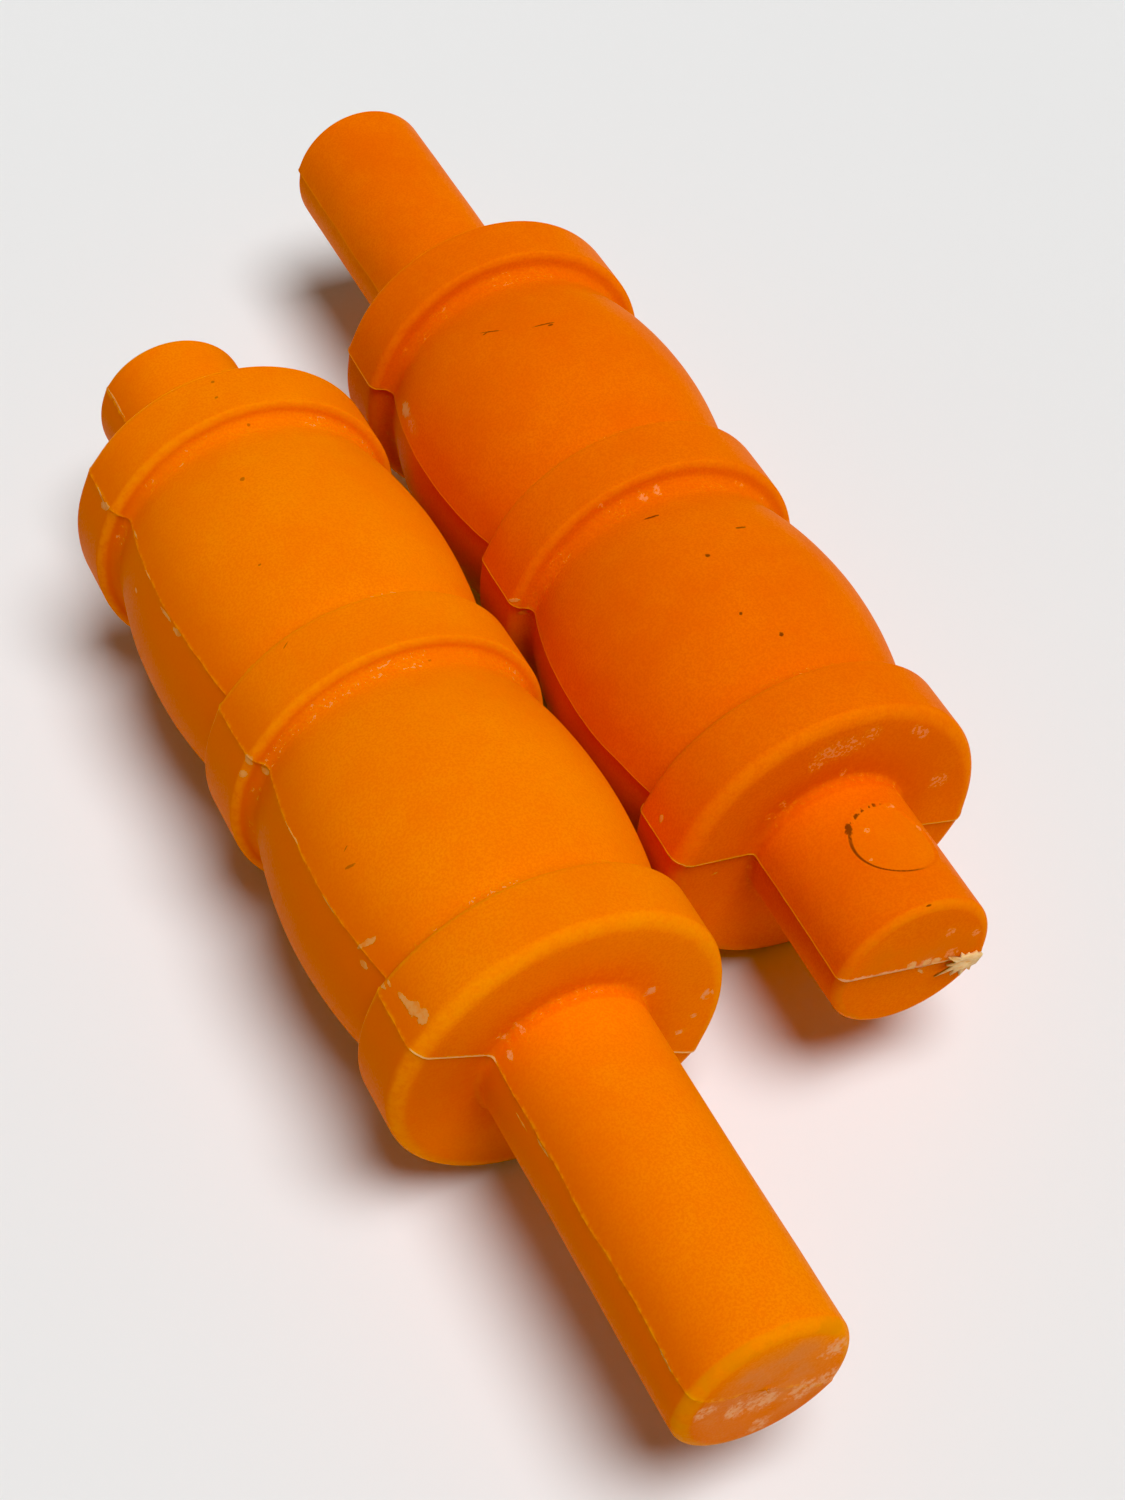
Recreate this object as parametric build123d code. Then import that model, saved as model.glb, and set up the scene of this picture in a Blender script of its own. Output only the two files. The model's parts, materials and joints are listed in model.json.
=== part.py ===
from build123d import *
import os

# A pair of injection-moulded cricket bails, lying side by side and head to tail.
# Each bail is one solid moulding: a turned-looking barrel of three collars and two
# bulges, with a long spigot at one end and a short spigot at the other. The spigots
# sit in the grooves on top of the stumps.
# Frame: +Z up, the bails' axes along Y, the origin on the surface they lie on,
# under the middle of the pair. Units are millimetres and degrees.

# Barrel
BARREL_LENGTH = 54.0
COLLAR_RADIUS = 11.05
MID_COLLAR_RADIUS = 11.0
END_COLLAR_WIDTH = 5.55
MID_COLLAR_WIDTH = 5.45
OUTER_RIM_RADIUS = 1.2
INNER_RIM_RADIUS = 0.6
BULGE_CREST_RADIUS = 11.0
BULGE_END_RADIUS = 9.1

# Spigots
SPIGOT_RADIUS = 5.5
LONG_SPIGOT_LENGTH = 23.6
SHORT_SPIGOT_LENGTH = 10.6
TIP_RIM_RADIUS = 0.6

# Marks that the mould leaves: its halves are out of line across and along the bail,
# and the ejector pin, whose end follows the spigot's curve, stops a little low
MISMATCH_ACROSS = 0.16
MISMATCH_ALONG = 0.14
EJECTOR_PIN_DIAMETER = 5.6
EJECTOR_MARK_DEPTH = 0.05
EJECTOR_MARK_FROM_COLLAR = 4.7

# How the two bails lie
LEFT_ROLL = 30.3
RIGHT_ROLL = 14.4
RIGHT_YAW = -1.43
AXIS_SPACING = 22.8
RIGHT_AHEAD = 7.3

HALF_BARREL = BARREL_LENGTH / 2


def bail_outline():
    """Half section of a bail: Y is its axis, with the long spigot at +Y, and X the radius."""
    half_mid = MID_COLLAR_WIDTH / 2
    inner_end = HALF_BARREL - END_COLLAR_WIDTH
    long_tip = HALF_BARREL + LONG_SPIGOT_LENGTH
    short_tip = -HALF_BARREL - SHORT_SPIGOT_LENGTH

    def bulge(start, end):
        return ThreePointArc((BULGE_END_RADIUS, start), (BULGE_CREST_RADIUS, (start + end) / 2),
                             (BULGE_END_RADIUS, end))

    short_end = Polyline((0, short_tip), (SPIGOT_RADIUS, short_tip), (SPIGOT_RADIUS, -HALF_BARREL),
                         (COLLAR_RADIUS, -HALF_BARREL), (COLLAR_RADIUS, -inner_end),
                         (BULGE_END_RADIUS, -inner_end))
    middle = Polyline((BULGE_END_RADIUS, -half_mid), (MID_COLLAR_RADIUS, -half_mid),
                      (MID_COLLAR_RADIUS, half_mid), (BULGE_END_RADIUS, half_mid))
    long_end = Polyline((BULGE_END_RADIUS, inner_end), (COLLAR_RADIUS, inner_end),
                        (COLLAR_RADIUS, HALF_BARREL), (SPIGOT_RADIUS, HALF_BARREL),
                        (SPIGOT_RADIUS, long_tip), (0, long_tip))
    axis_line = Line((0, long_tip), (0, short_tip))
    edges = [short_end, bulge(-inner_end, -half_mid), middle, bulge(half_mid, inner_end), long_end]
    outline = make_face(Curve() + [*edges, axis_line])

    def rims(radius, places):
        return fillet([v for v in outline.vertices() if places(v)], radius)

    outline = rims(OUTER_RIM_RADIUS, lambda v: v.X > COLLAR_RADIUS - 0.01 and abs(v.Y) > inner_end + 1)
    outline = rims(INNER_RIM_RADIUS, lambda v: v.X > MID_COLLAR_RADIUS - 0.01 and abs(v.Y) < inner_end + 1)
    outline = rims(TIP_RIM_RADIUS, lambda v: v.X > 1 and v.Y > long_tip - 0.01)
    return rims(TIP_RIM_RADIUS, lambda v: v.X > 1 and v.Y < short_tip + 0.01)


def make_bail():
    """One bail on the Y axis. The mould parts on the XY plane, with the ejector side at +Z."""
    outline = bail_outline()
    cavity_half = revolve(outline, axis=Axis.Y, revolution_arc=180)
    ejector_half = Rot(0, 180, 0) * cavity_half
    if cavity_half.center().Z > 0:
        cavity_half, ejector_half = ejector_half, cavity_half
    shift = Pos(-MISMATCH_ACROSS / 2, -MISMATCH_ALONG / 2, 0)
    bail = shift.inverse() * cavity_half + shift * ejector_half

    mark_y = -HALF_BARREL - EJECTOR_MARK_FROM_COLLAR
    pin = Pos(0, mark_y, 0) * Cylinder(EJECTOR_PIN_DIAMETER / 2, SPIGOT_RADIUS * 2,
                                       align=(Align.CENTER, Align.CENTER, Align.MIN))
    floor = Pos(0, mark_y, 0) * Rot(90, 0, 0) * Cylinder(SPIGOT_RADIUS - EJECTOR_MARK_DEPTH,
                                                         EJECTOR_PIN_DIAMETER * 2)
    return bail - shift * (pin - floor)


def main():
    bail = make_bail()
    # The left bail lies with its long spigot towards -Y and its ejector side down,
    # and the right one the other way round with its ejector side up.
    left = Rot(0, LEFT_ROLL, 0) * Rot(180, 0, 0) * bail
    right = Pos(AXIS_SPACING, RIGHT_AHEAD, 0) * Rot(0, 0, RIGHT_YAW) * Rot(0, RIGHT_ROLL, 0) * bail

    box = left.bounding_box(optimal=True).add(right.bounding_box(optimal=True))
    to_origin = Pos(-box.center().X, -box.center().Y, -box.min.Z)
    nodes = {"bail_left": to_origin * left, "bail_right": to_origin * right}

    os.makedirs("parts", exist_ok=True)
    for name, solid in nodes.items():
        export_step(solid, f"parts/{name}.step")
    print("origin of the left bail", to_origin.position)
    print("origin of the right bail", (to_origin * Pos(AXIS_SPACING, RIGHT_AHEAD, 0)).position)
    print("gap at the nearest point", nodes["bail_left"].distance_to(nodes["bail_right"]))
    print("overall length of one bail", BARREL_LENGTH + LONG_SPIGOT_LENGTH + SHORT_SPIGOT_LENGTH)


main()
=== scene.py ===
import json
import math

import bpy
import numpy as np
from mathutils import Matrix, Vector


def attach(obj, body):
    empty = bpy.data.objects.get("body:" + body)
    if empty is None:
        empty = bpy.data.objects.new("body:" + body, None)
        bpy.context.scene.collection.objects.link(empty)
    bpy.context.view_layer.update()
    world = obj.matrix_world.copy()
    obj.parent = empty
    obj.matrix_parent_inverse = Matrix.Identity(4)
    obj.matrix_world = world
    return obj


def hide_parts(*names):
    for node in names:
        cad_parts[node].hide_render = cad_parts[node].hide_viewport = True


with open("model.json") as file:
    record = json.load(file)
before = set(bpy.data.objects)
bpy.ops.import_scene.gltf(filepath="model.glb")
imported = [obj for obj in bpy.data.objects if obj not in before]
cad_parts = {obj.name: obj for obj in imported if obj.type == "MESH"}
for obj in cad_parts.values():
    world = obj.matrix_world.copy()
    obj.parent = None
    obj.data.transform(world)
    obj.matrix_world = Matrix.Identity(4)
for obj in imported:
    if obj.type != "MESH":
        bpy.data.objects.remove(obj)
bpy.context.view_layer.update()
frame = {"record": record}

# A pair of moulded plastic cricket bails. Sizes are in millimetres, like the CAD model's,
# and MM turns them into the frame's metres. A bail's own axes are x across it in the mould's
# parting plane, y along it towards its long spigot, and z out of the parting plane on the
# ejector side.
MM = 0.001
MOUNTS = {mount["name"]: mount for mount in frame["record"]["mounts"]}

# Barrel and spigots, as the CAD model has them, with rounder rims and shallower grooves
HALF_BARREL = 27.0
COLLAR_RADIUS = 11.05
MID_COLLAR_RADIUS = 11.0
END_COLLAR_WIDTH = 5.55
MID_COLLAR_WIDTH = 5.45
BULGE_CREST_RADIUS = 11.0
BULGE_END_RADIUS = {"left": 9.75, "right": 9.45}
SPIGOT_RADIUS = 5.5
LONG_SPIGOT_LENGTH = 23.6
SHORT_SPIGOT_LENGTH = 10.6
OUTER_RIM = 1.2
INNER_RIM = 0.85
TIP_RIM = {"left": 1.0, "right": 0.75}
ROOT_FILLET = 0.3
GROOVE_FILLET = 0.5
GROOVE_LEAN = 0.25
FACE_DISH = 0.2

# Places along a bail: the inner sides of its end and middle collars, and its two tips
INNER_FACE = HALF_BARREL - END_COLLAR_WIDTH
MID_FACE = MID_COLLAR_WIDTH / 2
SHORT_TIP = -HALF_BARREL - SHORT_SPIGOT_LENGTH
LONG_TIP = HALF_BARREL + LONG_SPIGOT_LENGTH

# What the mould leaves: faces and sides drafted so that each half can leave it, halves
# that are a little out of line, a thin flash where they meet, and the ejector pin's mark.
# SINK lowers the whole surface a little, so that its unevenness stays inside the CAD model's box.
FACE_DRAFT = math.tan(math.radians(2.5))
SIDE_DRAFT = math.radians(8)
MISMATCH_ALONG = {"left": -0.1, "right": -0.16}
MISMATCH_ACROSS = {"left": 0.06, "right": -0.16}
FLASH_HEIGHT = {"left": 0.02, "right": 0.05}
EJECTOR_RADIUS = 2.8
EJECTOR_PLACE = -31.7
EJECTOR_DEPTH = 0.16
SINK = 0.05

# The torn scrap of flash: its place across and out of the parting plane, and its spiky outline
CHIP_PLACE = (3.9, -0.25)
CHIP_OFF_END = 0.04
CHIP_CURL = 0.1
CHIP_REACH = (1.35, 1.2, 1.25, 0.95, 1.15, 0.75, 0.95, 0.7, 1.3, 0.85, 1.9, 0.9, 1.5,
              0.9, 2.3, 0.9, 1.5, 0.75, 1.5, 0.7, 1.3, 0.95, 1.25, 1.2)

# How far each bail is rolled, in degrees, which lifts its parting line on the -X side
LEFT_ROLL = 30.3
RIGHT_ROLL = 14.4

# Each bail's unevenness is the same noise, read this many millimetres further on
LEFT_SEED = 0.0
RIGHT_SEED = 60.0

# How close together the mesh's rows lie along the outline, in millimetres, and its columns
# round a bail, in degrees. Both are finer within FINE_REACH and FINE_HALF_TURN of the ejector
# mark. A bulge's arc starts BULGE_START in from its grooves, and END_RING is the radius of the
# small ring that each end's fan of faces starts from.
BULGE_START = 0.9
BULGE_STEP = 0.36
ARC_STEP = 0.12
LINE_STEP = 0.4
FINE_STEP = 0.13
FINE_REACH = 6.0
COLUMN_STEP = 3.0
FINE_COLUMN_STEP = 1.0
FINE_HALF_TURN = 36.0
SEAM_COLUMNS = (0.3, 0.8, 1.6)
END_RING = 0.05


def smoothstep(value, low, high):
    part = np.clip((value - low) / (high - low), 0, 1)
    return part * part * (3 - 2 * part)


def value_noise(points, size, seed=0):
    """Smooth noise from -1 to 1, with lumps about size across."""
    grid = points / size + 1000.0
    cell = np.floor(grid).astype(np.int64)
    part = grid - cell
    part = part * part * (3 - 2 * part)
    total = np.zeros(len(points))
    for corner in np.ndindex(2, 2, 2):
        at = cell + corner
        mixed = at[:, 0] * 374761393 + at[:, 1] * 668265263 + at[:, 2] * 974634777 + seed * 144269
        mixed = ((mixed ^ (mixed >> 13)) * 1274126177) & 0x7FFFFFFF
        mixed = mixed ^ (mixed >> 15)
        weight = np.prod(np.where(corner, part, 1 - part), axis=1)
        total += weight * ((mixed & 0xFFFF) / 32767.5 - 1)
    return total


# ---------------------------------------------------------------- the bails' outline

def bulge_points(start, end, low):
    """The arc of a bulge between two grooves, as corners with no rounding of their own."""
    half = (end - start) / 2
    rise = BULGE_CREST_RADIUS - low
    radius = (half * half + rise * rise) / (2 * rise)
    for along in np.arange(BULGE_START - half, half - BULGE_START + 0.01, BULGE_STEP):
        height = BULGE_CREST_RADIUS - radius + math.sqrt(radius * radius - along * along)
        yield ((start + end) / 2 + along, height, 0.0)


def bail_corners(low, tip_rim):
    """The half section as corners (along, radius, rounding), from the short tip to the long one."""
    inner_groove, mid_groove = INNER_FACE - GROOVE_LEAN, MID_FACE + GROOVE_LEAN
    return [
        (SHORT_TIP, END_RING, 0.0),
        (SHORT_TIP, SPIGOT_RADIUS, tip_rim),
        (-HALF_BARREL + FACE_DISH, SPIGOT_RADIUS, ROOT_FILLET),
        (-HALF_BARREL, COLLAR_RADIUS, OUTER_RIM),
        (-INNER_FACE, COLLAR_RADIUS, INNER_RIM),
        (-inner_groove, low, GROOVE_FILLET),
        *bulge_points(-inner_groove, -mid_groove, low),
        (-mid_groove, low, GROOVE_FILLET),
        (-MID_FACE, MID_COLLAR_RADIUS, INNER_RIM),
        (MID_FACE, MID_COLLAR_RADIUS, INNER_RIM),
        (mid_groove, low, GROOVE_FILLET),
        *bulge_points(mid_groove, inner_groove, low),
        (inner_groove, low, GROOVE_FILLET),
        (INNER_FACE, COLLAR_RADIUS, INNER_RIM),
        (HALF_BARREL, COLLAR_RADIUS, OUTER_RIM),
        (HALF_BARREL - FACE_DISH, SPIGOT_RADIUS, ROOT_FILLET),
        (LONG_TIP, SPIGOT_RADIUS, tip_rim),
        (LONG_TIP, END_RING, 0.0),
    ]


def rounded(corners):
    """Points along the outline with its corners rounded, and how convex each one's bend is."""
    points, bends = [np.array(corners[0][:2])], [0.0]
    for before, here, after in zip(corners, corners[1:], corners[2:]):
        corner, rounding = np.array(here[:2]), here[2]
        if rounding == 0:
            points.append(corner)
            bends.append(0.0)
            continue
        back = np.array(before[:2]) - corner
        on = np.array(after[:2]) - corner
        back /= np.linalg.norm(back)
        on /= np.linalg.norm(on)
        half = math.acos(np.clip(back @ on, -1, 1)) / 2
        middle = corner + (back + on) / np.linalg.norm(back + on) * rounding / math.sin(half)
        first = corner + back * rounding / math.tan(half) - middle
        last = corner + on * rounding / math.tan(half) - middle
        turn = math.pi - 2 * half
        side = np.sign(first[0] * last[1] - first[1] * last[0])
        steps = max(3, round(rounding * turn / ARC_STEP))
        for part in np.linspace(0, 1, steps + 1):
            angle = side * turn * part
            cosine, sine = math.cos(angle), math.sin(angle)
            points.append(middle + (first[0] * cosine - first[1] * sine,
                                    first[0] * sine + first[1] * cosine))
            bends.append(-side * math.sin(math.pi * part))
    points.append(np.array(corners[-1][:2]))
    bends.append(0.0)
    return np.array(points), np.array(bends)


def bail_rows(side_name):
    """Each mesh row's place along, radius, outward normal (along, radial) and rim weight."""
    corners, bends = rounded(bail_corners(BULGE_END_RADIUS[side_name], TIP_RIM[side_name]))
    points, rims = [corners[0]], [bends[0]]
    for start, end, bend, next_bend in zip(corners, corners[1:], bends, bends[1:]):
        length = np.linalg.norm(end - start)
        by_mark = abs((start[0] + end[0]) / 2 - EJECTOR_PLACE) < FINE_REACH
        near_mark = by_mark and abs(start[1] - end[1]) < 0.1
        steps = max(1, math.ceil(length / (FINE_STEP if near_mark else LINE_STEP) - 0.01))
        for part in np.arange(1, steps + 1) / steps:
            points.append(start + (end - start) * part)
            rims.append(bend + (next_bend - bend) * part)
    points = np.array(points)
    tangent = np.gradient(points, axis=0)
    normal = np.stack([-tangent[:, 1], tangent[:, 0]], axis=1)
    normal /= np.linalg.norm(normal, axis=1)[:, None]
    normal[0], normal[-1] = (-1, 0), (1, 0)
    return points[:, 0], points[:, 1], normal, np.array(rims)


def half_columns(start, fine):
    """Angles over half a turn, closer together by the parting plane and over the ejector mark."""
    angles = [0.0, *SEAM_COLUMNS]
    angle = COLUMN_STEP
    while angle < 180 - COLUMN_STEP / 2:
        angles.append(angle)
        near_mark = fine and abs(angle + COLUMN_STEP / 2 - 90) < FINE_HALF_TURN
        angle += FINE_COLUMN_STEP if near_mark else COLUMN_STEP
    angles += [180 - angle for angle in reversed(SEAM_COLUMNS)] + [180.0]
    return np.radians(start + np.array(angles))


def bail_columns():
    """Each column's angle and which half of the mould it belongs to: 1, -1, or 0 for the flash."""
    upper, lower = half_columns(0, True), half_columns(180, False)
    angles = np.concatenate([[0.0], upper, [math.pi], lower])
    halves = np.concatenate([[0], np.ones(len(upper)), [0], -np.ones(len(lower))])
    return angles, halves


# ---------------------------------------------------------------- the bails' mesh

def ejector_dent(local):
    """How far the ejector pin's mark stands below the surface, negative, with its burr."""
    distance = np.hypot(local[:, 0], local[:, 1] - EJECTOR_PLACE)
    on_spigot = (local[:, 2] > 0) & (np.hypot(local[:, 0], local[:, 2]) < SPIGOT_RADIUS + 1)
    tilt = 0.5 - 0.5 * local[:, 0] / EJECTOR_RADIUS
    inside = 1 - smoothstep(distance, EJECTOR_RADIUS - 0.14, EJECTOR_RADIUS)
    floor = -EJECTOR_DEPTH * (0.35 + 0.65 * tilt) * inside
    ragged = 0.5 + 0.5 * value_noise(local, 0.6, 31)
    burr = 0.06 * ragged * np.exp(-((distance - EJECTOR_RADIUS - 0.1) / 0.12) ** 2)
    return (floor + burr) * on_spigot


def gate_scar(local):
    """The rough hollow where the moulding was torn from its runner, on the long spigot's end."""
    from_tip = LONG_TIP - local[:, 1]
    radius = np.hypot(local[:, 0], local[:, 2])
    patch = (1 - smoothstep(radius, 1.6, 3.4)) * (from_tip < 0.3)
    rough = value_noise(local, 1.3, 41) + 0.5 * value_noise(local, 0.5, 42)
    return patch * (0.08 * rough - 0.13)


def seam_waver(local, seed):
    """How far the parting line strays out of the parting plane, along a bail."""
    lengthways = local * (0, 1, 0) + seed
    return 0.09 * value_noise(lengthways, 3.5, 5) + 0.05 * value_noise(lengthways, 1.1, 6)


def surface_lift(local, radius, seed):
    """The sunk surface's slow unevenness, with the ejector pin's mark and the torn gate's."""
    lift = 0.045 * value_noise(local + seed, 9.0, 1) + 0.018 * value_noise(local + seed, 3.2, 2)
    lift = lift * smoothstep(radius, 0.5, 3.0) - SINK
    return lift + (ejector_dent(local) + gate_scar(local))


def flash_lift(local, along, side_name, seed):
    """The height of the ragged flash, which is mostly rubbed off on the bulges."""
    ragged = 0.55 + 0.45 * value_noise(local + seed, 1.7, 3) + 0.35 * value_noise(local + seed, 0.5, 4)
    off_middle = np.abs(along)
    on_bulge = smoothstep(off_middle, MID_FACE, 3.5) * (1 - smoothstep(off_middle, 20.8, 21.4))
    return FLASH_HEIGHT[side_name] * np.clip(ragged, 0.1, 2) * (1 - 0.7 * on_bulge)


def bail_surface(side_name, seed):
    """The surface's points in a bail's own axes, with what bail_mesh needs to join them up."""
    across, ahead = MISMATCH_ACROSS[side_name], MISMATCH_ALONG[side_name]
    along, radius, normal, rim = bail_rows(side_name)
    angles, halves = bail_columns()
    rows, columns = len(along), len(angles)
    t, r = np.repeat(along, columns), np.repeat(radius, columns)
    n_along, n_out = np.repeat(normal[:, 0], columns), np.repeat(normal[:, 1], columns)
    angle, half = np.tile(angles, rows), np.tile(halves, rows)

    out = np.stack([-np.cos(angle), np.zeros(len(t)), np.sin(angle)], axis=1)
    from_plane = np.arcsin(np.clip(np.abs(np.sin(angle)), 0, 1))
    drafted = r / np.cos(np.maximum(SIDE_DRAFT - from_plane, 0))
    local = out * drafted[:, None]
    local[:, 1] = t - n_along * np.abs(local[:, 2]) * FACE_DRAFT
    outward = out * n_out[:, None]
    outward[:, 1] = n_along

    # The ejector half is out of line with the other one. The flash column takes the outer of the two.
    flash_side = np.where(outward @ np.array([across, ahead, 0]) > 0, 1, -1)
    side = np.where(half == 0, flash_side, half)
    shifted = local.copy()
    shifted[:, 0] += side * across / 2 * smoothstep(r, 1.0, 4.0)
    shifted[:, 1] += side * ahead / 2 * smoothstep(LONG_TIP - t, 0.5, 4.0)

    by_seam = np.exp(-(from_plane / math.radians(5)) ** 2) * (np.abs(n_out) > 0.5)
    shifted[:, 2] += seam_waver(local, seed) * by_seam * smoothstep(r, 4.0, 5.5)
    lift = surface_lift(local, r, seed) + np.where(half == 0, flash_lift(local, t, side_name, seed), 0)
    shifted += outward * lift[:, None]
    return shifted, local, np.repeat(rim, columns), along, columns


def bail_mesh(name, to_frame, side_name, seed):
    """The whole moulding as one closed mesh, with its own coordinates kept as an attribute."""
    surface, local, rims, along, columns = bail_surface(side_name, seed)
    ends = [[0, along[0], 0], [0, along[-1], 0]]
    index = np.arange(len(surface)).reshape(len(along), columns)
    following = np.roll(index, -1, axis=1)
    quads = np.stack([index[:-1], following[:-1], following[1:], index[1:]], axis=-1).reshape(-1, 4)
    fans = [(len(surface), following[0, c], index[0, c]) for c in range(columns)]
    fans += [(len(surface) + 1, index[-1, c], following[-1, c]) for c in range(columns)]

    vertices = np.vstack([surface, ends])
    points = (vertices * MM) @ np.array(to_frame.to_3x3()).T + np.array(to_frame.translation)
    mesh = bpy.data.meshes.new(name)
    mesh.from_pydata(points.tolist(), [], quads.tolist() + fans)
    mesh.validate()
    mesh.polygons.foreach_set("use_smooth", [True] * len(mesh.polygons))

    own = np.vstack([local, ends])
    mesh.attributes.new("own", "FLOAT_VECTOR", "POINT").data.foreach_set("vector", own.ravel())
    rims = np.concatenate([rims, [0, 0]])
    mesh.attributes.new("rim", "FLOAT", "POINT").data.foreach_set("value", rims)
    mesh.update()
    return mesh


def bail_axes(side, roll):
    """The matrix from a bail's own axes to the frame, worked out from its two spigot mounts."""
    long_end, short_end = MOUNTS[side + "_long_spigot"], MOUNTS[side + "_short_spigot"]
    forward = (Vector(long_end["pos_m"]) - Vector(short_end["pos_m"])).normalized()
    to_middle = HALF_BARREL * MM + short_end["dims"]["length_mm"] * MM / 2
    centre = Vector(short_end["pos_m"]) + forward * to_middle
    up = Vector((0, 0, 1))
    level = Vector((abs(forward.y), -forward.x * math.copysign(1, forward.y), 0))
    across = level * math.cos(math.radians(roll)) - up * math.sin(math.radians(roll))
    out = across.cross(forward)
    axes = Matrix((across, forward, out)).transposed().to_4x4()
    axes.translation = centre
    return axes


def make_bail(side, roll, seed):
    axes = bail_axes(side, roll)
    node = "bail_" + side
    mesh = bail_mesh(node + "_moulding", axes, side, seed)
    piece = bpy.data.objects.new(node + "_moulding", mesh)
    bpy.context.scene.collection.objects.link(piece)
    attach(piece, node)
    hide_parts(node)
    return piece, axes


def make_torn_chip(to_frame):
    """A thin torn scrap of flash that clings to the right bail's short end, lapping over its rim."""
    across, out = CHIP_PLACE
    rim = TIP_RIM["right"]
    turns = np.linspace(0, 2 * math.pi, len(CHIP_REACH), endpoint=False)
    points, faces = [], []
    # Rings of points over the scrap and back under it: how far out each one is, and how high
    layers = [(0.0, 0.14), (0.5, 0.17), (1.0, 0.13), (1.0, 0.0), (0.5, 0.0), (0.0, 0.0)]
    for part, height in layers:
        for turn, reach in zip(turns, CHIP_REACH):
            x = across + part * reach * math.cos(turn)
            z = out + part * reach * math.sin(turn) * 0.8
            over = min(max(math.hypot(x, z) - (SPIGOT_RADIUS - rim), 0.0), rim * 0.95)
            drop = rim - math.sqrt(rim ** 2 - over ** 2)
            curl = CHIP_CURL * part * (0.5 + 0.5 * math.sin(3 * turn))
            along = SHORT_TIP - CHIP_OFF_END + drop - height - (curl if height else 0)
            points.append(Vector((x, along, z)) * MM)
    count = len(CHIP_REACH)
    for layer in range(len(layers) - 1):
        for k in range(count):
            first, following = layer * count + k, layer * count + (k + 1) % count
            faces.append((first, following, following + count, first + count))
    mesh = bpy.data.meshes.new("flash_chip_right")
    mesh.from_pydata([to_frame @ point for point in points], [], faces)
    mesh.validate()
    mesh.polygons.foreach_set("use_smooth", [True] * len(mesh.polygons))
    own = np.array(points).ravel() / MM
    mesh.attributes.new("own", "FLOAT_VECTOR", "POINT").data.foreach_set("vector", own)
    mesh.update()
    piece = bpy.data.objects.new("flash_chip_right", mesh)
    bpy.context.scene.collection.objects.link(piece)
    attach(piece, "bail_right")
    piece.data.materials.append(torn_plastic())


# ---------------------------------------------------------------- materials

# Where the coats lie, in millimetres: along a bail, out from its axis, or out from its parting
# plane. DARK_EDGE_SIDE is the way, across and along, to the side of the ejector pin's mark with a dark
# line.
FACE_BAND = (HALF_BARREL - 0.8, HALF_BARREL + 0.3)
BULGE_BAND = (MID_FACE + 0.275, INNER_FACE - 0.15)
LONG_SPIGOT_FOOT = (HALF_BARREL - 0.1, HALF_BARREL + 0.2)
CENTRE = (LONG_TIP + SHORT_TIP) / 2
HALF_LENGTH = (LONG_TIP - SHORT_TIP) / 2
FOOT_SHADE_RADII = (SPIGOT_RADIUS + 0.1, SPIGOT_RADIUS + 3.1)
HAZE_RADII = (3.4, 5.2)
FACE_LIP = (0.05, 0.17)
END_LIP = (0.08, 0.22)
DARK_EDGE_SIDE = (-0.85, -0.53)

# A mark by a wall, which is an end, a face or a groove, keeps its own size inwards. One on
# the open side reaches deeper, so that it meets the surface wherever that lies.
WALLS = (SHORT_TIP, -HALF_BARREL, -INNER_FACE, -MID_FACE, MID_FACE, INNER_FACE, HALF_BARREL, LONG_TIP)
WALL_REACH = 0.6
WALL_MARK_DEPTH = 0.35
SIDE_MARK_DEPTH = 1.2


class Tree:
    """Short forms for building a material's nodes."""

    def __init__(self, name):
        self.material = bpy.data.materials.new(name)
        self.material.use_nodes = True
        self.nodes = self.material.node_tree.nodes
        self.links = self.material.node_tree.links
        self.shader = self.nodes["Principled BSDF"]

    def add(self, kind, inputs=(), output=0, **settings):
        node = self.nodes.new("ShaderNode" + kind)
        for key, value in settings.items():
            setattr(node, key, value)
        for key, value in dict(inputs).items():
            self.put(node.inputs[key], value)
        return node.outputs[output]

    def put(self, socket, value):
        if isinstance(value, bpy.types.NodeSocket):
            self.links.new(value, socket)
        else:
            socket.default_value = value

    def attribute(self, name, output="Fac"):
        return self.add("Attribute", attribute_name=name, output=output)

    def math(self, operation, a, b=0.0):
        return self.add("Math", {0: a, 1: b}, operation=operation)

    def times(self, first, *others):
        for other in others:
            first = self.math("MULTIPLY", first, other)
        return first

    def size(self, vector):
        """How long a vector is."""
        return self.add("VectorMath", {0: vector}, output=1, operation="LENGTH")

    def step(self, value, low, high, to_low=0.0, to_high=1.0):
        """Goes smoothly from to_low to to_high as the value goes from low to high."""
        levels = {"From Min": low, "From Max": high, "To Min": to_low, "To Max": to_high}
        return self.add("MapRange", {"Value": value, **levels}, interpolation_type="SMOOTHSTEP")

    def band(self, value, low, high, soft):
        """A mask that is 1 where the value lies between low and high."""
        return self.times(self.step(value, low - soft, low + soft),
                          self.step(value, high - soft, high + soft, 1.0, 0.0))

    def noise(self, vector, scale, detail=2.0, roughness=0.5):
        return self.add("TexNoise", {"Vector": vector, "Scale": scale, "Detail": detail,
                                     "Roughness": roughness})

    def mix(self, factor, a, b):
        node = self.nodes.new("ShaderNodeMix")
        node.data_type = "RGBA"
        self.put(node.inputs[0], factor)
        self.put(node.inputs[6], a)
        self.put(node.inputs[7], b)
        return node.outputs[2]


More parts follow.
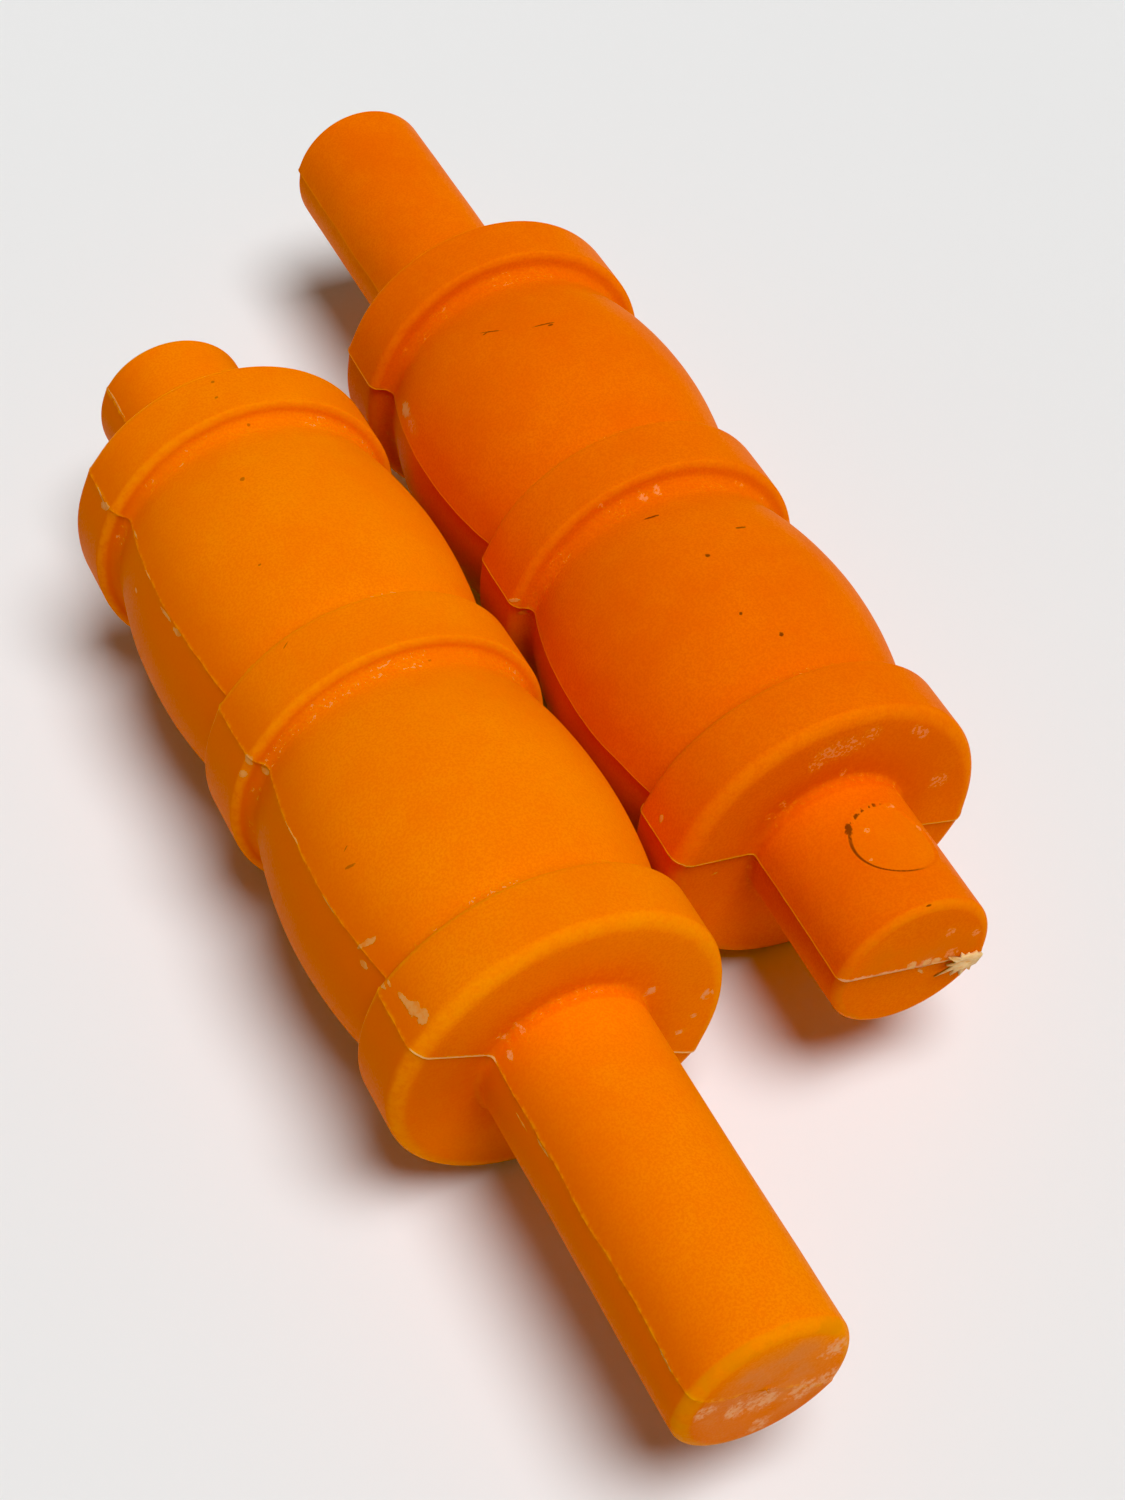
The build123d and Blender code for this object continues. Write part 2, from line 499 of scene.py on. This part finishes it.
class BailTree(Tree):
    """A bail's plastic: the places and patterns that its coats share, and the colour so far."""

    def __init__(self, name, look):
        super().__init__(name)
        self.look = look
        self.base = look["body"]
        self.own = self.attribute("own", "Vector")
        apart = self.add("SeparateXYZ", {0: self.own}).node.outputs
        self.across, self.along, self.out = apart[0], apart[1], apart[2]
        self.radius = self.size(self.add("CombineXYZ", {0: self.across, 2: self.out}))
        self.from_seam = self.math("ABSOLUTE", self.out)
        self.from_middle = self.math("ABSOLUTE", self.along)
        self.rim = self.attribute("rim")
        self.on_face = self.band(self.from_middle, *FACE_BAND, 0.2)
        self.streaks = self.step(self.noise(self.own, scale=0.5, detail=3.0), 0.35, 0.7)
        self.grain = self.noise(self.own, scale=6.5, detail=2.0, roughness=0.6)
        self.flecks = self.noise(self.own, scale=2.1, detail=3.0, roughness=0.6)
        rough = self.noise(self.own, scale=2.6, detail=4.0, roughness=0.75)
        self.ragged = self.times(self.math("SUBTRACT", rough, 0.5), 2.4)

    def paint(self, colour_name, *masks):
        """Lays one of the look's colours over what is there, as far as all the masks let it."""
        self.base = self.mix(self.times(*masks), self.base, self.look[colour_name])


def colour(red, green, blue):
    """A shader colour from the usual 0 to 255 values."""
    return tuple((value / 255) ** 2.2 for value in (red, green, blue)) + (1.0,)


def spot(tree, ragged, soft, mark):
    """A ragged spot's mask. The mark is (along, around, out, half length, half width, turn)."""
    along, around, out, length, width, turn = mark
    angle = math.radians(around)
    place = (-out * math.cos(angle), along, out * math.sin(angle))
    near_wall = min(abs(along - wall) for wall in WALLS) < WALL_REACH
    depth = max(WALL_MARK_DEPTH, min(length, width)) if near_wall else SIDE_MARK_DEPTH
    at = tree.add("Mapping", {"Vector": tree.own, "Location": place,
                              "Rotation": (math.radians(turn), angle + math.pi, 0),
                              "Scale": (depth, length, width)}, vector_type="TEXTURE")
    return tree.step(tree.math("ADD", tree.size(at), ragged), 1.0 - soft, 1.0 + soft, 1.0, 0.0)


def spots(tree, ragged, soft, marks):
    total = spot(tree, ragged, soft, marks[0])
    for mark in marks[1:]:
        total = tree.math("MAXIMUM", total, spot(tree, ragged, soft, mark))
    return total


def paint_body(tree):
    """The plastic's own orange with clouds, streaks and grain, and where given, painted shade on one flank.
    """
    look = tree.look
    clouds = tree.step(tree.noise(tree.own, scale=0.11, detail=3.0), 0.3, 0.7)
    tree.paint("deep", clouds, 0.4)
    tree.paint("rim", tree.streaks, 0.12)
    tree.paint("deep", tree.step(tree.grain, 0.36, 0.64, to_high=0.5))
    # Painted shade: a deeper orange over the flank on the ejector side, with less of it on the faces.
    if "under" in look:
        less_on_faces = tree.step(tree.on_face, 0.0, 1.0, to_low=1.0, to_high=0.55)
        tree.paint("under", tree.step(tree.out, *look["under out"]), look["under strength"], less_on_faces)


def paint_rims(tree):
    """Painted highlight on rims in a yellower orange, painted shade in grooves, and pale flakes in them."""
    look = tree.look
    # Painted highlight: the rounded rims take the yellower rim colour, broken up by flecks.
    tree.paint("rim", tree.step(tree.rim, 0.1, 1.0, to_high=look["rim highlight"]),
               tree.step(tree.flecks, 0.36, 0.6, to_low=0.5))
    from_centre = tree.math("ABSOLUTE", tree.math("SUBTRACT", tree.along, CENTRE))
    tree.paint("tip rim", tree.step(from_centre, HALF_LENGTH - 1.1, HALF_LENGTH - 0.7),
               tree.step(tree.rim, 0.05, 0.7, to_high=look["tip strength"]),
               tree.step(tree.streaks, 0.1, 0.9, to_low=0.4))
    # Painted shade: the grooves take a deeper orange.
    tree.paint("hollow", tree.step(tree.rim, -0.9, 0.0, to_low=0.15, to_high=0.0),
               tree.step(tree.flecks, 0.3, 0.65, to_low=0.3))
    flakes = tree.step(tree.noise(tree.own, scale=3.2, detail=3.0, roughness=0.7), 0.54, 0.62)
    tree.paint("bruise", tree.band(tree.rim, -0.95, -0.25, 0.1), flakes,
               tree.step(tree.streaks, 0.3, 0.8, to_high=0.5))


def paint_foot_shade(tree):
    """Paints shade on each face round its spigot's root, a deeper orange. Gives back the mask."""
    foot_shade = tree.times(tree.on_face, tree.step(tree.radius, *FOOT_SHADE_RADII, 1.0, 0.0),
                      tree.step(tree.flecks, 0.3, 0.6, to_low=0.25, to_high=0.45))
    tree.paint("foot_shade", foot_shade)
    return foot_shade


def paint_end(tree):
    """One end of a bail is hazy. Gives back that end's mask."""
    look = tree.look
    end = tree.step(tree.along, *look["hazy end"])
    masks = [end, tree.step(tree.radius, *HAZE_RADII, 1.0, 0.0),
             tree.step(tree.streaks, 0.1, 0.9, to_low=0.35, to_high=0.75)]
    if "haze from" in look:
        masks.append(tree.step(tree.out, *look["haze from"]))
        masks.append(tree.step(tree.out, *look["haze to"], 1.0, 0.0))
    tree.paint("haze", *masks)
    return end


def paint_seam(tree, end):
    """The mould's parting line: broken along the bail, a pale ragged lip over its faces and an end."""
    look = tree.look
    on_bulge = tree.band(tree.from_middle, *BULGE_BAND, 0.3)
    tree.paint("seam", tree.step(tree.from_seam, 0.03, look["seam width"], 1.0, 0.0),
               tree.step(tree.flecks, *look["seam breaks"]),
               tree.step(tree.radius, 1.0, 2.0),
               tree.step(on_bulge, 0.0, 1.0, to_low=1.0, to_high=look["bulge seam"]),
               tree.step(tree.along, *LONG_SPIGOT_FOOT, to_low=1.0, to_high=look["spigot seam"]),
               look["seam strength"])
    face_lip = tree.math("ADD", tree.from_seam, tree.times(tree.ragged, 0.1))
    tree.paint("lip", tree.on_face, tree.step(face_lip, *FACE_LIP, 1.0, 0.0), 0.75)
    if "end line" in look:
        end_lip = tree.math("ADD", tree.from_seam, tree.times(tree.ragged, 0.25))
        tree.paint("end lip", end, tree.step(end_lip, *END_LIP, 1.0, 0.0),
                   tree.step(tree.across, *look["end line"], 0.9, 0.0))


def ejector_dark_edge(tree):
    """Paints the ejector pin's mark a little paler, and gives back a mask of dark dots and a dark line
    round it.
    """
    on_pin = tree.math("SUBTRACT", tree.along, EJECTOR_PLACE)
    from_pin = tree.size(tree.add("CombineXYZ", {0: tree.across, 1: on_pin}))
    facing = tree.step(tree.out, 0.5, 2.0)
    inside = tree.step(from_pin, EJECTOR_RADIUS - 0.2, EJECTOR_RADIUS, 1.0, 0.0)
    tree.paint("rim", inside, facing, 0.16)
    ring = tree.times(tree.band(from_pin, EJECTOR_RADIUS - 0.16, EJECTOR_RADIUS + 0.03, 0.05), facing)
    turned = tree.math("ADD", tree.times(tree.across, DARK_EDGE_SIDE[0]), tree.times(on_pin, DARK_EDGE_SIDE[1]))
    line = tree.times(ring, tree.step(turned, 0.6, 2.2))
    dots = tree.times(ring, tree.step(tree.noise(tree.own, scale=2.6, detail=1.0), 0.52, 0.6),
                      tree.step(tree.across, -0.2, 1.2, 1.0, 0.0))
    return tree.math("MAXIMUM", line, dots)


def paint_marks(tree):
    """Bruises, chips and grime at their places, and the ejector mark's dark edge. Gives back the chips'
    mask.
    """
    look = tree.look
    bruises = spots(tree, tree.ragged, 0.35, look["bruises"])
    scuffed = tree.noise(tree.own, scale=look["scuff"], detail=3.0, roughness=0.65)
    tree.paint("bruise", bruises, tree.step(scuffed, 0.4, 0.6, to_low=0.05, to_high=0.8))
    chips = spots(tree, tree.times(tree.ragged, 0.8), 0.16, look["chips"])
    tree.paint("chip", chips, tree.step(tree.flecks, 0.35, 0.55, to_low=0.45, to_high=0.85))
    grime = spots(tree, tree.times(tree.ragged, 0.9), 0.25, look["grime"])
    grime = tree.math("MAXIMUM", grime, ejector_dark_edge(tree))
    tree.paint("grime colour", grime, look["grime strength"])
    return chips


def bail_plastic(name, look):
    tree = BailTree(name, look)
    paint_body(tree)
    paint_rims(tree)
    foot_shade = paint_foot_shade(tree)
    end = paint_end(tree)
    paint_seam(tree, end)
    chips = paint_marks(tree)

    swell = tree.times(tree.noise(tree.own, scale=0.8, detail=2.0), 0.9)
    height = tree.math("ADD", tree.times(tree.grain, 0.35), swell)
    height = tree.math("ADD", height, tree.times(chips, 1.2))
    height = tree.math("SUBTRACT", height, tree.times(foot_shade, tree.times(tree.flecks, 0.8)))
    bump = tree.add("Bump", {"Height": height, "Strength": 0.6, "Distance": 0.05 * MM})

    shader = tree.shader
    tree.put(shader.inputs["Base Color"], tree.base)
    tree.put(shader.inputs["Roughness"], tree.step(tree.grain, 0.3, 0.7, to_low=0.45, to_high=0.6))
    tree.put(shader.inputs["Normal"], bump)
    shader.inputs["Specular IOR Level"].default_value = 0.05
    shader.inputs["Specular Tint"].default_value = (1.0, 0.4, 0.02, 1.0)
    shader.inputs["Subsurface Weight"].default_value = 0.25
    shader.inputs["Subsurface Radius"].default_value = (1.0, 0.3, 0.08)
    shader.inputs["Subsurface Scale"].default_value = 1.5 * MM
    return tree.material


# Each mark is (along, around from the parting line, out from the axis, half its length along,
# half its width around, turn), in millimetres and degrees.
LEFT_LOOK = {
    "body": colour(252, 131, 3), "deep": colour(240, 107, 2),
    # Painted highlight: rim highlight is how strongly the rounded rims take the rim colour.
    "rim": colour(255, 158, 4), "rim highlight": 0.4,
    "tip rim": colour(226, 130, 4), "tip strength": 0.75,
    # Painted shade colours: hollow for the grooves, and the one after it for each face round its spigot.
    "hollow": colour(222, 90, 2), "foot_shade": colour(226, 78, 2),
    # Painted shade: a deeper orange that grows towards the flank on the ejector side.
    "under": colour(224, 94, 2), "under out": (-5.5, 1.6), "under strength": 0.85,
    "seam": colour(255, 168, 50), "seam width": 0.3, "seam strength": 0.4,
    "seam breaks": (0.4, 0.62), "bulge seam": 0.8, "spigot seam": 1.0,
    "lip": colour(240, 185, 125),
    "haze": colour(230, 124, 62), "hazy end": (LONG_TIP - 0.45, LONG_TIP - 0.2),
    "bruise": colour(238, 166, 116), "scuff": 2.2, "chip": colour(230, 156, 92),
    "grime colour": colour(140, 70, 10), "grime strength": 0.6,
    "bruises": [
        (50.6, 55, 1.7, 1.0, 0.9, 0), (50.6, 120, 1.2, 1.0, 0.9, 0), (50.6, 173, 2.9, 1.0, 0.8, 0),
        (50.6, 120, 3.8, 1.0, 0.6, 0), (50.6, 228, 4.2, 1.0, 0.8, 0), (50.6, 190, 4.3, 1.0, 0.7, 0),
        (50.6, 16, 4.0, 1.0, 0.6, 0), (27.0, -125, 6.2, 1.0, 0.4, 0), (27.0, -149, 9.5, 1.0, 0.45, 0),
        (27.0, 193, 8.3, 1.0, 0.28, 0), (27.0, 201, 8.8, 1.0, 0.2, 0), (27.2, -27, 5.8, 0.6, 0.22, 0),
        (27.2, -15, 5.9, 0.6, 0.3, 0), (27.7, -12, 5.6, 0.35, 0.22, 0),
    ],
    "chips": [
        (24.0, -7.7, 11.0, 0.9, 0.2, 12), (24.8, -9.2, 11.0, 0.9, 0.4, 20),
        (25.4, -10.2, 11.0, 0.5, 0.45, 0), (18.5, -3, 10.2, 0.2, 0.8, -20),
        (2.4, 1, 10.8, 0.3, 0.5, 20), (2.4, 7.5, 10.8, 0.25, 0.4, -30), (3.2, 2, 9.9, 0.4, 0.25, 20),
        (-22.6, 1.5, 11.0, 0.6, 0.3, 30), (-23.5, 0.5, 11.0, 0.8, 0.12, -12),
        (19.1, 4, 10.4, 0.35, 0.2, 0), (21.6, -2.5, 11.0, 0.6, 0.15, 15),
        (22.1, -5.5, 11.0, 0.3, 0.1, 0), (-19.2, -1, 9.9, 0.6, 0.1, 4),
        (-15.2, 0, 10.8, 0.6, 0.1, -4), (-16.0, 11, 10.8, 0.25, 0.12, 0),
        (-11.4, 1.6, 11.0, 0.8, 0.12, 4), (-9.6, 1.5, 11.0, 0.5, 0.2, 12),
        (-35.2, -2, 5.5, 1.7, 0.09, 0), (31.2, 7, 5.5, 0.6, 0.08, 0), (33.5, 2, 5.5, 0.7, 0.1, 0),
        (47.6, 1, 5.5, 0.8, 0.12, 0), (15.0, 0.5, 11.0, 0.8, 0.1, 0), (9.0, 0, 11.0, 1.2, 0.09, 3),
    ],
    "grime": [
        (-15.9, -48, 10.9, 0.16, 0.16, 0), (-25.2, -57, 11.0, 0.12, 0.14, 0),
        (-23.6, -55, 11.0, 0.1, 0.12, 0), (-21.3, -62, 9.9, 0.1, 0.12, 0),
        (-8.6, -38, 10.8, 0.06, 0.1, 0), (3.1, -74, 10.2, 0.1, 0.2, 0),
        (14.3, -13.5, 11.0, 0.09, 0.32, -20), (13.2, -15.5, 11.0, 0.05, 0.2, 20),
        (-1.7, -32, 11.0, 0.05, 0.3, 30),
    ],
}
RIGHT_LOOK = {
    "body": colour(243, 113, 3), "deep": colour(229, 92, 2),
    # Painted highlight: rim highlight is how strongly the rounded rims take the rim colour.
    "rim": colour(250, 140, 5), "rim highlight": 0.35,
    "tip rim": colour(226, 122, 8), "tip strength": 0.35,
    # Painted shade colours: hollow for the grooves, and the one after it for each face round its spigot.
    "hollow": colour(208, 74, 1), "foot_shade": colour(220, 78, 1),
    "seam": colour(246, 150, 62), "seam width": 0.12, "seam strength": 0.75,
    "seam breaks": (0.15, 0.4), "bulge seam": 0.3, "spigot seam": 0.3,
    "lip": colour(240, 150, 70), "end lip": colour(242, 166, 120), "end line": (2.0, 3.4),
    "haze": colour(228, 110, 50), "hazy end": (SHORT_TIP + 0.45, SHORT_TIP + 0.2),
    "haze from": (-0.1, 0.05), "haze to": (1.0, 3.6),
    "bruise": colour(246, 150, 98), "scuff": 4.0, "chip": colour(238, 176, 112),
    "grime colour": colour(84, 38, 6), "grime strength": 0.8,
    "bruises": [
        (-26.8, 111, 9.5, 1.2, 0.4, 0), (-26.8, 116, 9.4, 1.2, 0.4, 0), (-26.8, 151, 8.2, 1.2, 0.6, 0),
        (-26.8, 76, 8.4, 0.8, 1.8, 0), (-26.8, 64, 7.9, 0.7, 0.6, 0), (-26.8, 90, 9.1, 0.6, 0.6, 0),
        (-26.8, 30, 6.1, 0.8, 0.3, 0), (-26.8, 41, 6.1, 0.8, 0.25, 0),
        (-26.8, 81, 6.1, 0.8, 0.25, 0), (-27.3, 129, 5.8, 0.6, 0.3, 0),
        (-2.9, 67, 9.8, 0.4, 0.35, 0), (-2.9, 73, 9.7, 0.4, 0.25, 0), (-2.8, 51, 10.4, 0.4, 0.3, 0),
        (-37.6, 165, 2.6, 1.0, 0.5, 0), (-37.6, 150, 4.4, 1.0, 0.35, 0), (-37.6, 120, 3.2, 1.0, 0.3, 0),
        (-37.6, 170, 0.8, 1.0, 0.5, 0), (-30.6, 75, 5.5, 0.2, 0.25, 0), (-29.1, 104, 5.5, 0.2, 0.35, 0),
        (-32.6, 66, 5.5, 0.12, 0.12, 0), (-30.9, 118, 5.5, 0.3, 0.15, 0), (15.8, 6, 10.8, 1.1, 0.5, 0),
    ],
    "chips": [
        (17.6, 6, 10.7, 0.8, 0.5, 12), (-2.5, -3, 10.2, 0.6, 0.25, 0), (-2.4, 2, 10.9, 0.5, 0.15, 40),
        (-23.7, 6, 11.0, 0.2, 0.3, 0), (-37.6, 172, 1.5, 1.0, 0.4, 0), (-37.6, 40, 0.5, 1.0, 0.3, 0),
        (-37.6, 160, 0.9, 1.0, 0.3, 0), (-37.6, -140, 1.1, 1.0, 0.12, 0), (-37.6, -170, 4.6, 1.0, 0.4, 0),
        (-27.0, -10, 8.0, 0.2, 0.16, 0), (-27.0, -14, 7.4, 0.2, 0.14, 0),
    ],
    "grime": [
        (16.1, 54, 10.9, 0.05, 0.8, -38), (16.2, 52, 10.9, 0.06, 0.15, 0),
        (14.3, 71.5, 11.0, 0.06, 0.8, -8), (14.0, 74, 11.0, 0.08, 0.2, 0),
        (-5.0, 64, 10.4, 0.09, 0.6, -14), (-8.8, 89, 10.9, 0.09, 0.35, 0),
        (-10.6, 71, 11.0, 0.15, 0.15, 0), (-15.8, 69, 10.9, 0.12, 0.1, 0), (-18.1, 78, 10.7, 0.17, 0.15, 0),
        (-37.1, 80, 5.4, 0.05, 0.2, 0), (-30.1, 65, 5.5, 0.45, 0.2, -30),
    ],
}


def torn_plastic():
    tree = Tree("torn_plastic")
    own = tree.attribute("own", "Vector")
    drawn_out = tree.add("Mapping", {"Vector": own, "Scale": (1.2, 1.0, 5.0)})
    fibres = tree.noise(drawn_out, scale=1.2, detail=4.0, roughness=0.7)
    orange_part = tree.step(fibres, 0.4, 0.75, to_high=0.8)
    shader = tree.shader
    tree.put(shader.inputs["Base Color"],
             tree.mix(orange_part, colour(248, 206, 150), colour(240, 150, 60)))
    tree.put(shader.inputs["Roughness"], tree.step(fibres, 0.3, 0.7, to_low=0.5, to_high=0.7))
    tree.put(shader.inputs["Normal"],
             tree.add("Bump", {"Height": fibres, "Strength": 0.8, "Distance": 0.1 * MM}))
    shader.inputs["Specular IOR Level"].default_value = 0.1
    shader.inputs["Subsurface Weight"].default_value = 0.2
    shader.inputs["Subsurface Radius"].default_value = (1.0, 0.5, 0.2)
    shader.inputs["Subsurface Scale"].default_value = 0.5 * MM
    return tree.material


def stage_material():
    tree = Tree("studio_floor")
    position = tree.add("TexCoord", output="Object")
    cloud = tree.noise(position, scale=9.0, detail=3.0)
    tree.put(tree.shader.inputs["Base Color"],
             tree.mix(cloud, (0.83, 0.83, 0.83, 1), (0.86, 0.86, 0.857, 1)))
    tree.shader.inputs["Roughness"].default_value = 0.9
    tree.shader.inputs["Specular IOR Level"].default_value = 0.1
    return tree.material


# ---------------------------------------------------------------- floor, lights and camera

# The floor's sizes, in metres
FLOOR_RADII = (0.05, 0.15, 0.3, 0.5, 0.9, 1.3, 1.8)
FLOOR_SWEEP = 0.5
FLOOR_WALL = 0.1
FLOOR_SIDES = 96


def add_floor():
    """A round sheet that is flat under the bails and sweeps up into a low wall all round them."""
    flat = FLOOR_RADII[-1]
    profile = [(radius, 0.0) for radius in FLOOR_RADII]
    for turn in np.radians(np.arange(5, 91, 5)):
        profile.append((flat + FLOOR_SWEEP * math.sin(turn), FLOOR_SWEEP * (1 - math.cos(turn))))
    profile.append((flat + FLOOR_SWEEP, FLOOR_SWEEP + FLOOR_WALL))
    points, faces = [(0.0, 0.0, 0.0)], []
    for radius, height in profile:
        for turn in np.linspace(0, 2 * math.pi, FLOOR_SIDES, endpoint=False):
            points.append((radius * math.cos(turn), radius * math.sin(turn), height))
    for k in range(FLOOR_SIDES):
        following = (k + 1) % FLOOR_SIDES
        faces.append((0, 1 + k, 1 + following))
        for ring in range(len(profile) - 1):
            low, high = 1 + ring * FLOOR_SIDES, 1 + (ring + 1) * FLOOR_SIDES
            faces.append((low + k, high + k, high + following, low + following))
    mesh = bpy.data.meshes.new("floor")
    mesh.from_pydata(points, [], faces)
    mesh.polygons.foreach_set("use_smooth", [True] * len(faces))
    floor = bpy.data.objects.new("floor", mesh)
    floor.data.materials.append(stage_material())
    bpy.context.scene.collection.objects.link(floor)


# The key light's direction, its strength, its spread in degrees, and the light from all round
KEY_DIRECTION = Vector((0.13, -0.24, 0.92))
KEY_STRENGTH = 2.86
KEY_SPREAD = 34
WORLD_STRENGTH = 0.06


def add_key():
    """Soft, even studio light from one side of overhead."""
    light = bpy.data.lights.new("key", "SUN")
    light.energy = KEY_STRENGTH
    light.angle = math.radians(KEY_SPREAD)
    lamp = bpy.data.objects.new("key", light)
    lamp.location = KEY_DIRECTION
    lamp.rotation_euler = KEY_DIRECTION.to_track_quat("Z", "Y").to_euler()
    bpy.context.scene.collection.objects.link(lamp)


def add_world():
    """A faint, even light from all round."""
    world = bpy.data.worlds.new("studio")
    world.use_nodes = True
    background = world.node_tree.nodes["Background"]
    background.inputs["Color"].default_value = (1, 1, 1, 1)
    background.inputs["Strength"].default_value = WORLD_STRENGTH
    bpy.context.scene.world = world


# The camera's place from the middle of the left bail, its angles in degrees and its lens
CAMERA_FROM_LEFT_BAIL = Vector((-40.6, -98.2, 119.2)) * MM
CAMERA_HEADING = 28.93
CAMERA_DIP = 48.43
CAMERA_TILT = 2.87
CAMERA_LENS = 59.3


def add_camera(left_bail_centre):
    """Looks along a heading turned right from +Y, dipped below level and tilted about its view."""
    heading, dip, tilt = (math.radians(a) for a in (CAMERA_HEADING, CAMERA_DIP, CAMERA_TILT))
    ahead = Vector((math.sin(heading), math.cos(heading), 0))
    level = Vector((math.cos(heading), -math.sin(heading), 0))
    view = ahead * math.cos(dip) - Vector((0, 0, math.sin(dip)))
    rise = level.cross(view)
    right = level * math.cos(tilt) + rise * math.sin(tilt)
    up = rise * math.cos(tilt) - level * math.sin(tilt)
    camera = bpy.data.objects.new("camera", bpy.data.cameras.new("camera"))
    camera.data.lens = CAMERA_LENS
    camera.data.clip_start = 0.005
    placing = Matrix((right, up, -view)).transposed().to_4x4()
    placing.translation = left_bail_centre + CAMERA_FROM_LEFT_BAIL
    camera.matrix_world = placing
    bpy.context.scene.collection.objects.link(camera)
    bpy.context.scene.camera = camera


# Takes off the slight blue cast that white light leaves on a saturated orange
BLUE_BLACK_LEVEL = 0.02


def set_view():
    settings = bpy.context.scene.view_settings
    settings.view_transform = "Standard"
    settings.use_curve_mapping = True
    settings.curve_mapping.black_level = (0.0, 0.0, BLUE_BLACK_LEVEL)


# ---------------------------------------------------------------- the whole scene

left, left_axes = make_bail("left", LEFT_ROLL, LEFT_SEED)
right, right_axes = make_bail("right", RIGHT_ROLL, RIGHT_SEED)
left.data.materials.append(bail_plastic("orange_plastic_left", LEFT_LOOK))
right.data.materials.append(bail_plastic("orange_plastic_right", RIGHT_LOOK))
make_torn_chip(right_axes)

add_floor()
add_world()
add_key()
add_camera(left_axes.translation)
set_view()
